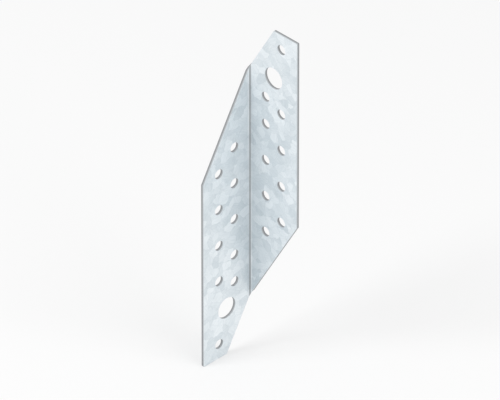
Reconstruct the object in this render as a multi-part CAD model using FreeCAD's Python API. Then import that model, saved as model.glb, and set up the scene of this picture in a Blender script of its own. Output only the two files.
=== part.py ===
import FreeCAD
import Part
import math
import os

# An angle bracket folded from one punched strip of galvanised sheet, for two parts that cross.
# Millimetres, +Z up. The fold is vertical, and the origin is its sharp outer corner at mid length.
# The upper flange runs along +X, with its bearing face in the plane Y = 0.
# The lower flange runs along -Y, with its bearing face in the plane X = 0.
# Each flange is the other's half turn about the level line that halves the corner.

# Sheet and fold
sheet_thickness = 1.5
bend_radius = 1.5  # on the inside of the fold
neutral_factor = 0.33  # depth of the layer that keeps its length, as a share of the thickness

# Outline
length = 180.0  # along the fold, from tip to tip
leg = 30.0  # inside width of each flange, from the other flange's inner face
tip_width = 15.0
cut_angle = 60.0  # of the slanted end cuts, from straight across the fold
corner_radius = 0.5

# Nail holes, in two columns that are staggered by half a pitch
nail_hole_diameter = 5.0
nail_pitch = 20.0
column_spacing = 10.0
outer_column_from_end = 43.5
fold_nail_from_end = 38.5
tip_nail_from_end = 8.0

# Bolt hole
bolt_hole_diameter = 11.0
bolt_from_end = 26.0

# Distances along a flange, from the origin
fold_edge = sheet_thickness + bend_radius
free_edge = sheet_thickness + leg
tip_corner = free_edge - tip_width
flange_middle = sheet_thickness + leg / 2
fold_column = flange_middle - column_spacing / 2
outer_column = flange_middle + column_spacing / 2

# Each end of the flat strip is one straight slanted cut. It climbs round the fold as well.
end_height = length / 2
cut_slope = math.tan(math.radians(cut_angle))
bend_allowance = math.pi / 2 * (bend_radius + neutral_factor * sheet_thickness)
fold_rise = cut_slope * bend_allowance
high_fold_end = end_height - cut_slope * (tip_corner - fold_edge)
low_fold_end = high_fold_end - fold_rise

ORIGIN = FreeCAD.Vector()
UP = FreeCAD.Vector(0, 0, 1)
QUARTER_TURN = 90
HALF_TURN = 180


def lower_cut(distance):
    """Height of the upper flange's slanted lower end, at a distance from the origin."""
    return -low_fold_end + cut_slope * (distance - fold_edge)


def nail_column(distance, first):
    """Hole centres from the first height down to one hole diameter inside the slanted end."""
    margin = nail_hole_diameter / math.cos(math.radians(cut_angle))
    room = first - lower_cut(distance) - margin
    rows = 1 + math.floor(room / nail_pitch)
    return [(distance, first - row * nail_pitch) for row in range(rows)]


def nail_holes():
    """Centres of the upper flange's nail holes."""
    tip_nail = (outer_column, end_height - tip_nail_from_end)
    fold_nail = (fold_column, end_height - fold_nail_from_end)
    outer_first = end_height - outer_column_from_end
    fold_first = outer_first - nail_pitch / 2
    columns = nail_column(outer_column, outer_first) + nail_column(fold_column, fold_first)
    return [tip_nail, fold_nail] + columns


def punch(centre, diameter):
    """A round cutter through the upper flange, one thickness clear of both its faces."""
    distance, height = centre
    start = FreeCAD.Vector(distance, sheet_thickness, height)
    return Part.makeCylinder(diameter / 2, 3 * sheet_thickness, start, FreeCAD.Vector(0, -1, 0))


def upper_plate():
    """The flat of the upper flange, unpunched, with its free corners eased."""
    corners = [
        (fold_edge, high_fold_end),
        (tip_corner, end_height),
        (free_edge, end_height),
        (free_edge, lower_cut(free_edge)),
        (fold_edge, lower_cut(fold_edge)),
    ]
    outline = Part.makePolygon([FreeCAD.Vector(x, 0, z) for x, z in corners + corners[:1]])
    plate = Part.Face(outline).extrude(FreeCAD.Vector(0, -sheet_thickness, 0))
    through = [edge for edge in plate.Edges if edge.BoundBox.YLength > sheet_thickness / 2]
    free_corners = [edge for edge in through if edge.CenterOfMass.x > fold_edge + corner_radius]
    return plate.makeFillet(corner_radius, free_corners)


def upper_flange():
    """The flat of the upper flange with its nail holes and its bolt hole."""
    punches = [punch(centre, nail_hole_diameter) for centre in nail_holes()]
    punches.append(punch((flange_middle, end_height - bolt_from_end), bolt_hole_diameter))
    return upper_plate().cut(punches)


def cut_path(radius):
    """The end cut's helix round the Z axis, from the lower flange up to the upper one."""
    path = Part.makeHelix(4 * fold_rise, fold_rise, radius, 0, True)
    path.rotate(ORIGIN, UP, HALF_TURN)
    return path.Edges[0]


def fold():
    """The quarter bend between the flats, ended by two helical cuts."""
    base = FreeCAD.Vector(0, 0, -end_height)
    bend = Part.makeCylinder(fold_edge, length, base, UP, QUARTER_TURN)
    bend = bend.cut(Part.makeCylinder(bend_radius, length, base, UP))
    bend.rotate(ORIGIN, UP, QUARTER_TURN)
    past_outside = fold_edge + sheet_thickness / 100
    end_cut = Part.makeRuledSurface(cut_path(bend_radius / 2), cut_path(past_outside))
    end_cut.translate(FreeCAD.Vector(0, 0, -high_fold_end))
    bend = bend.common(end_cut.extrude(FreeCAD.Vector(0, 0, high_fold_end + low_fold_end)))
    bend.translate(FreeCAD.Vector(fold_edge, -fold_edge, 0))
    return bend


def angle_bracket():
    """The upper flange, the lower flange as its half turn, and the fold that joins them."""
    upper = upper_flange()
    lower = upper.copy()
    lower.rotate(ORIGIN, FreeCAD.Vector(1, -1, 0), HALF_TURN)
    return upper.fuse([fold(), lower])


os.makedirs("parts", exist_ok=True)
angle_bracket().exportStep("parts/angle_bracket.step")
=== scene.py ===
import bpy
import math
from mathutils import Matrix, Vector


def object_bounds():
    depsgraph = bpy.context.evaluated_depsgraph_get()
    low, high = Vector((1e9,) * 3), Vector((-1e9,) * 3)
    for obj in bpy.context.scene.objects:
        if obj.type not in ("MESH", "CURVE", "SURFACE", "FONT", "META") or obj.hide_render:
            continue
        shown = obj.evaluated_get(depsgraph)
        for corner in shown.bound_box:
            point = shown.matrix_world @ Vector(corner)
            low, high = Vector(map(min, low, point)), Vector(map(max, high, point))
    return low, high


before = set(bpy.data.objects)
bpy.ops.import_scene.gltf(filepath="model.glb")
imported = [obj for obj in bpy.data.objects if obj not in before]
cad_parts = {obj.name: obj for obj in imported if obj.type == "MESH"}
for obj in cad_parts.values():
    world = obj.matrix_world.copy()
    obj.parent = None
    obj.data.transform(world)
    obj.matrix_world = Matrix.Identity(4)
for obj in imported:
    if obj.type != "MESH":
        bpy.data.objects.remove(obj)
cad_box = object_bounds()

# Lengths of the sheet and its surface are in millimetres, and those of the studio in metres.
MM = 0.001

# Sheet
SHEET = 1.5  # thickness
FOLD_RADIUS = 3.0  # outside

# Cut edges
WELD_GAP = 0.001  # largest distance between points that are one
FLAT_WITHIN = math.radians(0.5)  # largest turn between triangles of one flat
SHARP_FROM = math.radians(40)  # smallest turn across an edge that is rounded
EDGE_BREAK = 0.12  # how far it is rounded
EDGE_STEPS = 2

# Zinc. Its crystals, the streaks in them and larger clouds each add a share to its shade.
ZINC_DARK = (0.60, 0.663, 0.70, 1)
ZINC_PALE = (0.835, 0.882, 0.91, 1)
CRYSTAL_SHADE = 0.6
STREAK_SHADE = 0.4
CLOUD_SHADE = 0.6
ZINC_ROUGH = (0.30, 0.46)  # of the glossiest and the dullest crystal
STREAK_ROUGH = 0.06
METALLIC = 0.6  # a dull bloom hides part of the metal

# Crystals: each leans its own way, with streaks in a direction of its own and a wavy border
TONE, TURN, GLOSS = range(3)  # a crystal's three random numbers
CRYSTAL = 4.2  # width
CRYSTAL_LEAN = 0.10
CRYSTAL_SHIFT = (-271.0, 176.0, -45.0)  # puts no pale crystal where it blurs a hole's outline
STREAK = (0.625, 0.625, 4.5)  # width both ways, and length
CLOUD = 16.0  # width
BORDER = (0.50, 0.56, 0.60, 1)
BORDER_SHOWS = 0.22
BORDER_WIDTH = 0.05  # as a share of a crystal's
WAVE = 2.0  # length
WAVE_HEIGHT = 2.2

# Scuffs from handling: faint hairlines in patches, in two directions
SCUFF = (0.92, 0.94, 0.95, 1)
SCUFF_SHOWS = 0.5
SCUFF_ROUGH = 0.1
SCUFF_ANGLES = (math.radians(35), math.radians(-50))  # from the fold's direction
HAIRLINE_GRID = (0.65, 0.65, 25.0)  # their distance both ways, and their length
HAIRLINE_ENDS = 0.010  # how far the noise is off its middle where a hairline ends
SCUFF_PATCH = 8.0  # width
SCUFF_PATCH_EDGE = (0.5, 0.62)

# Fold: strained and dull along its middle, most on the inside, where its dark colour is also painted shade
# in the crease
STRAIN_AND_PAINTED_SHADE = (0.20, 0.215, 0.23, 1)
STRAINED_ROUGH = 0.6
STRAIN_AND_SHADE_REACH = (0.15, 1.0)  # distances from the middle where it starts to fade and has faded
STRAIN_AND_SHADE_OUTSIDE = 0.35
STRAIN_AND_SHADE_SPECKLE = (0.6, 0.9)

# Sheared edge: a smooth band where the tool entered, then a duller, ragged torn one
SMOOTH_STEEL = (0.46, 0.49, 0.51, 1)
SMOOTH_ROUGH = 0.42
TORN_STEEL = (0.30, 0.31, 0.32, 1)
TORN_ROUGH = 0.55
TORN_ENDS = (0.85, 1.0)  # depths from the bearing side
RAG = 0.33  # width
RAG_HEIGHT = 0.5
ZINC_ENDS = (0.01, 0.08)  # depths from the nearer side

# Relief of the streaks and of a fine grain
GRAIN = 1 / 6  # width
GRAIN_SHARE = 0.3
RELIEF = 0.03
RELIEF_SHOWS = 0.35

# Noise: how many finer layers each kind has, and a layer's strength beside the one before
PLAIN = (1.0, 0.5)
SOFT = (2.0, 0.5)
CLOUDY = (3.0, 0.5)
FEATHERED = (4.0, 0.6)
RAGGED = (4.0, 0.7)
NOISE_MIDDLE = 0.5
NOISE_SPAN = (0.3, 0.7)  # where nearly all of its values lie

# Studio, with lamps that stand off from the object's middle
WHITE = (1, 1, 1, 1)
SKY = 0.78  # strength of the light from all round, where white is 1
FLOOR_WIDTH = 60.0
FLOOR = (0.71, 0.71, 0.71, 1)
FLOOR_WHITE = 0.5  # share of plain white in what is seen of the floor
KEY = {"offset": (-0.5, -1.4, 1.5), "width": 1.0, "watts": 24.0}
FILL = {"offset": (1.6, 0.2, 1.0), "width": 1.5, "watts": 17.0}

# Camera, with its lens and sensor in millimetres
VIEW_AZIMUTH = math.radians(45)
VIEW_ELEVATION = math.atan(math.sqrt(0.5))  # of an isometric drawing
LENS = 800.0
SENSOR = 36.0
PICTURE = (500, 400)
TALL_SHARE = 0.84  # of the picture's height that the object fills


class Graph:
    """Adds nodes to one tree. An input given as a socket is linked, and any other is set."""

    def __init__(self, tree):
        self.tree = tree
        tree.nodes.clear()

    def set(self, socket, value):
        if isinstance(value, bpy.types.NodeSocket):
            self.tree.links.new(value, socket)
        else:
            socket.default_value = value

    def add(self, kind, inputs=(), **settings):
        node = self.tree.nodes.new(kind)
        for name, value in settings.items():
            setattr(node, name, value)
        for name, value in dict(inputs).items():
            self.set(node.inputs[name], value)
        return node

    def math(self, operation, *values):
        return self.add("ShaderNodeMath", enumerate(values), operation=operation).outputs[0]

    def vector(self, operation, *values):
        return self.add("ShaderNodeVectorMath", enumerate(values), operation=operation).outputs[0]

    def times(self, vector, factor):
        return self.vector("MULTIPLY", vector, (factor, factor, factor))

    def channels(self, colour):
        """The three numbers that a colour holds."""
        return self.add("ShaderNodeSeparateColor", {0: colour}).outputs

    def lean(self, colour):
        """A random colour as a vector that leans any way."""
        return self.vector("SUBTRACT", colour, (NOISE_MIDDLE, NOISE_MIDDLE, NOISE_MIDDLE))

    def ramp(self, value, low, high, to_low=0.0, to_high=1.0, smooth=False):
        """Maps value from low..high to to_low..to_high, held at the ends."""
        inputs = {"Value": value, "From Min": low, "From Max": high, "To Min": to_low, "To Max": to_high}
        kind = "SMOOTHSTEP" if smooth else "LINEAR"
        return self.add("ShaderNodeMapRange", inputs, interpolation_type=kind).outputs["Result"]

    # The mix node has sockets for numbers and for colours under the same names, so they go by place.

    def between(self, factor, first, second):
        """A number between first, at factor 0, and second, at 1."""
        return self.add("ShaderNodeMix", {0: factor, 2: first, 3: second}).outputs[0]

    def blend(self, factor, first, second):
        """A colour between first, at factor 0, and second, at 1."""
        return self.add("ShaderNodeMix", {0: factor, 6: first, 7: second}, data_type="RGBA").outputs[2]

    def noise(self, place, size, layers, output="Fac"):
        """Noise round NOISE_MIDDLE, with features of about this size."""
        detail, roughness = layers
        inputs = {"Vector": place, "Scale": 1 / size, "Detail": detail, "Roughness": roughness}
        return self.add("ShaderNodeTexNoise", inputs).outputs[output]

    def strokes(self, place, normal, angle, sizes, layers):
        """Noise drawn out into strokes that lie in the surface, turned by an angle."""
        turned = self.add("ShaderNodeVectorRotate", {"Vector": place, "Axis": normal, "Angle": angle})
        drawn_out = self.vector("DIVIDE", turned.outputs[0], sizes)
        return self.noise(drawn_out, 1.0, layers)


def depth_in_sheet(graph, x, y):
    """0 on the bearing side of the sheet and SHEET on its inner side, flanges and fold alike."""
    flat = graph.math("MINIMUM", x, graph.math("MULTIPLY", y, -1.0))
    across = graph.math("POWER", graph.math("SUBTRACT", x, FOLD_RADIUS), 2.0)
    along = graph.math("POWER", graph.math("ADD", y, FOLD_RADIUS), 2.0)
    curved = graph.math("SUBTRACT", FOLD_RADIUS, graph.math("SQRT", graph.math("ADD", across, along)))
    before_x = graph.math("LESS_THAN", x, FOLD_RADIUS)
    before_y = graph.math("GREATER_THAN", y, -FOLD_RADIUS)
    return graph.between(graph.math("MULTIPLY", before_x, before_y), flat, curved)


def spangle(graph, place, normal):
    """The zinc's crystals: three random numbers for each, its streaks and its border."""
    place = graph.vector("ADD", place, CRYSTAL_SHIFT)
    wave = graph.lean(graph.noise(place, WAVE, CLOUDY, "Color"))
    wavy = graph.vector("ADD", place, graph.times(wave, WAVE_HEIGHT))
    cells = {"Vector": wavy, "Scale": 1 / CRYSTAL}
    crystal = graph.add("ShaderNodeTexVoronoi", cells).outputs["Color"]
    edge = graph.add("ShaderNodeTexVoronoi", cells, feature="DISTANCE_TO_EDGE").outputs["Distance"]
    border = graph.ramp(edge, 0.0, BORDER_WIDTH, 1.0, 0.0)
    angle = graph.math("MULTIPLY", graph.channels(crystal)[TURN], 2 * math.pi)
    streaks = graph.strokes(place, normal, angle, STREAK, FEATHERED)
    return crystal, graph.ramp(streaks, *NOISE_SPAN), border


def scuffs(graph, place, normal):
    """1 on the hairlines, and 0 beside them and outside their patches."""
    lines = []
    for angle in SCUFF_ANGLES:
        strokes = graph.strokes(place, normal, angle, HAIRLINE_GRID, PLAIN)
        off_line = graph.math("ABSOLUTE", graph.math("SUBTRACT", strokes, NOISE_MIDDLE))
        lines.append(graph.ramp(off_line, 0.0, HAIRLINE_ENDS, 1.0, 0.0))
    patches = graph.ramp(graph.noise(place, SCUFF_PATCH, SOFT), *SCUFF_PATCH_EDGE)
    return graph.math("MULTIPLY", graph.math("MAXIMUM", *lines), patches)


def zinc(graph, place, normal, crystal, streaks, border):
    """Colour and roughness of the zinc on the flats."""
    random = graph.channels(crystal)
    cloud = graph.math("SUBTRACT", graph.noise(place, CLOUD, CLOUDY), NOISE_MIDDLE)
    scuff = scuffs(graph, place, normal)
    shade = graph.math("MULTIPLY", random[TONE], CRYSTAL_SHADE)
    shade = graph.math("MULTIPLY_ADD", streaks, STREAK_SHADE, shade)
    shade = graph.math("MULTIPLY_ADD", cloud, CLOUD_SHADE, shade)
    colour = graph.blend(shade, ZINC_DARK, ZINC_PALE)
    colour = graph.blend(graph.math("MULTIPLY", border, BORDER_SHOWS), colour, BORDER)
    colour = graph.blend(graph.math("MULTIPLY", scuff, SCUFF_SHOWS), colour, SCUFF)
    rough = graph.ramp(random[GLOSS], 0.0, 1.0, *ZINC_ROUGH)
    rough = graph.math("MULTIPLY_ADD", streaks, STREAK_ROUGH, rough)
    return colour, graph.math("MULTIPLY_ADD", scuff, SCUFF_ROUGH, rough)


def strain_and_painted_shade_in_fold(graph, x, y, depth, grain):
    """Strain and painted shade: most in the middle of the fold's inside, and 0 on the flats."""
    off_middle = graph.math("ABSOLUTE", graph.math("ADD", x, y))
    strain_and_shade = graph.ramp(off_middle, *STRAIN_AND_SHADE_REACH, 1.0, 0.0, smooth=True)
    strain_and_shade = graph.math("MULTIPLY", strain_and_shade, graph.ramp(grain, *NOISE_SPAN, *STRAIN_AND_SHADE_SPECKLE))
    return graph.math("MULTIPLY", strain_and_shade, graph.ramp(depth, 0.0, SHEET, STRAIN_AND_SHADE_OUTSIDE, 1.0))


def sheared_steel(graph, place, depth):
    """Colour and roughness of the cut edges."""
    rags = graph.math("SUBTRACT", graph.noise(place, RAG, RAGGED), NOISE_MIDDLE)
    ragged_depth = graph.math("MULTIPLY_ADD", rags, RAG_HEIGHT, depth)
    torn = graph.ramp(ragged_depth, *TORN_ENDS, 1.0, 0.0)
    return graph.blend(torn, SMOOTH_STEEL, TORN_STEEL), graph.between(torn, SMOOTH_ROUGH, TORN_ROUGH)


def galvanised_steel():
    """Zinc on the sheet, strained and with painted shade in the fold, and bare steel on the cut edges."""
    material = bpy.data.materials.new("galvanised_steel")
    material.use_nodes = True
    graph = Graph(material.node_tree)
    place = graph.times(graph.add("ShaderNodeTexCoord").outputs["Object"], 1 / MM)
    normal = graph.add("ShaderNodeNewGeometry").outputs["Normal"]
    axes = graph.add("ShaderNodeSeparateXYZ", {0: place}).outputs
    depth = depth_in_sheet(graph, axes["X"], axes["Y"])
    grain = graph.noise(place, GRAIN, RAGGED)
    crystal, streaks, border = spangle(graph, place, normal)

    colour, rough = zinc(graph, place, normal, crystal, streaks, border)
    strain_and_shade = strain_and_painted_shade_in_fold(graph, axes["X"], axes["Y"], depth, grain)
    # The fold's dark colour is painted shade in the crease, laid over the strained zinc's real dullness.
    colour = graph.blend(strain_and_shade, colour, STRAIN_AND_PAINTED_SHADE)
    rough = graph.between(strain_and_shade, rough, STRAINED_ROUGH)
    steel_colour, steel_rough = sheared_steel(graph, place, depth)
    from_side = graph.math("MINIMUM", depth, graph.math("SUBTRACT", SHEET, depth))
    cut = graph.ramp(from_side, *ZINC_ENDS, smooth=True)

    lean = graph.times(graph.lean(crystal), CRYSTAL_LEAN)
    leaning = graph.vector("NORMALIZE", graph.vector("ADD", normal, lean))
    bump = graph.add("ShaderNodeBump", {
        "Strength": RELIEF_SHOWS,
        "Distance": RELIEF * MM,
        "Height": graph.between(GRAIN_SHARE, streaks, grain),
        "Normal": leaning,
    })
    shader = graph.add("ShaderNodeBsdfPrincipled", {
        "Base Color": graph.blend(cut, colour, steel_colour),
        "Metallic": METALLIC,
        "Roughness": graph.between(cut, rough, steel_rough),
        "Normal": bump.outputs[0],
    })
    graph.add("ShaderNodeOutputMaterial", {"Surface": shader.outputs[0]})
    return material


def dress_bracket(node):
    """Its material, and its cut edges rounded a hair once each flat is one whole face."""
    node.data.materials.clear()
    node.data.materials.append(galvanised_steel())
    weld = node.modifiers.new("Weld", "WELD")
    weld.merge_threshold = WELD_GAP * MM
    flats = node.modifiers.new("Flats", "DECIMATE")
    flats.decimate_type = "DISSOLVE"
    flats.angle_limit = FLAT_WITHIN
    edges = node.modifiers.new("Edges", "BEVEL")
    edges.width = EDGE_BREAK * MM
    edges.segments = EDGE_STEPS
    edges.limit_method = "ANGLE"
    edges.angle_limit = SHARP_FROM
    edges.use_clamp_overlap = False
    edges.loop_slide = False
    edges.harden_normals = True


def seen(graph):
    """1 for what the camera sees, straight, in metal or through glass, and 0 for what only lights."""
    paths = graph.add("ShaderNodeLightPath").outputs
    shown = graph.math("MAXIMUM", paths["Is Camera Ray"], paths["Is Glossy Ray"])
    return graph.math("MAXIMUM", shown, paths["Is Transmission Ray"])


def floor_finish():
    """Matt and pale, with a share of plain white where it is seen, and clear from underneath."""
    material = bpy.data.materials.new("floor")
    material.use_nodes = True
    graph = Graph(material.node_tree)
    matt = graph.add("ShaderNodeBsdfDiffuse", {"Color": FLOOR}).outputs[0]
    white = graph.add("ShaderNodeEmission", {"Color": WHITE, "Strength": 1.0}).outputs[0]
    share = graph.math("MULTIPLY", seen(graph), FLOOR_WHITE)
    top = graph.add("ShaderNodeMixShader", {0: share, 1: matt, 2: white}).outputs[0]
    clear = graph.add("ShaderNodeBsdfTransparent").outputs[0]
    underneath = graph.add("ShaderNodeNewGeometry").outputs["Backfacing"]
    surface = graph.add("ShaderNodeMixShader", {0: underneath, 1: top, 2: clear}).outputs[0]
    graph.add("ShaderNodeOutputMaterial", {"Surface": surface})
    return material


def pale_floor(height):
    """A wide floor that takes the object's shadow."""
    half = FLOOR_WIDTH / 2
    corners = [(-half, -half, height), (half, -half, height), (half, half, height), (-half, half, height)]
    mesh = bpy.data.meshes.new("floor")
    mesh.from_pydata(corners, [], [(0, 1, 2, 3)])
    mesh.materials.append(floor_finish())
    floor = bpy.data.objects.new("floor", mesh)
    bpy.context.scene.collection.objects.link(floor)


def studio_world():
    """White where it is seen, and a little less as the light on the object."""
    world = bpy.data.worlds.new("studio")
    world.use_nodes = True
    graph = Graph(world.node_tree)
    strength = graph.ramp(seen(graph), 0.0, 1.0, SKY, 1.0)
    sky = graph.add("ShaderNodeBackground", {"Color": WHITE, "Strength": strength})
    graph.add("ShaderNodeOutputWorld", {"Surface": sky.outputs[0]})
    bpy.context.scene.world = world


def soft_lamp(name, target, offset, width, watts):
    """A square area lamp that stands off from target and faces it, and that metal doesn't mirror."""
    data = bpy.data.lights.new(name, "AREA")
    data.size = width
    data.energy = watts
    lamp = bpy.data.objects.new(name, data)
    lamp.location = target + Vector(offset)
    lamp.rotation_euler = (-Vector(offset)).to_track_quat("-Z", "Y").to_euler()
    lamp.visible_glossy = False
    bpy.context.scene.collection.objects.link(lamp)


def add_camera(points):
    """A long lens from the drawing's direction, as near to a parallel view as it gets."""
    flat = math.cos(VIEW_ELEVATION)
    back = Vector((math.sin(VIEW_AZIMUTH) * flat, -math.cos(VIEW_AZIMUTH) * flat, math.sin(VIEW_ELEVATION)))
    turn = (-back).to_track_quat("-Z", "Y")
    right, up = turn @ Vector((1, 0, 0)), turn @ Vector((0, 1, 0))
    sides = [right.dot(point) for point in points]
    heights = [up.dot(point) for point in points]
    centre = (right * (max(sides) + min(sides)) + up * (max(heights) + min(heights))) / 2
    picture_height = (max(heights) - min(heights)) / TALL_SHARE
    distance = picture_height * PICTURE[0] / PICTURE[1] * LENS / SENSOR
    data = bpy.data.cameras.new("camera")
    data.lens = LENS
    data.sensor_width = SENSOR
    camera = bpy.data.objects.new("camera", data)
    camera.location = centre + back * distance
    camera.rotation_euler = turn.to_euler()
    bpy.context.scene.collection.objects.link(camera)
    bpy.context.scene.camera = camera


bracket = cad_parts["angle_bracket"]
low, high = cad_box
middle = (low + high) / 2
dress_bracket(bracket)
pale_floor(low.z)
studio_world()
soft_lamp("key", middle, **KEY)
soft_lamp("fill", middle, **FILL)
add_camera([vertex.co for vertex in bracket.data.vertices])
bpy.context.scene.view_settings.view_transform = "Standard"
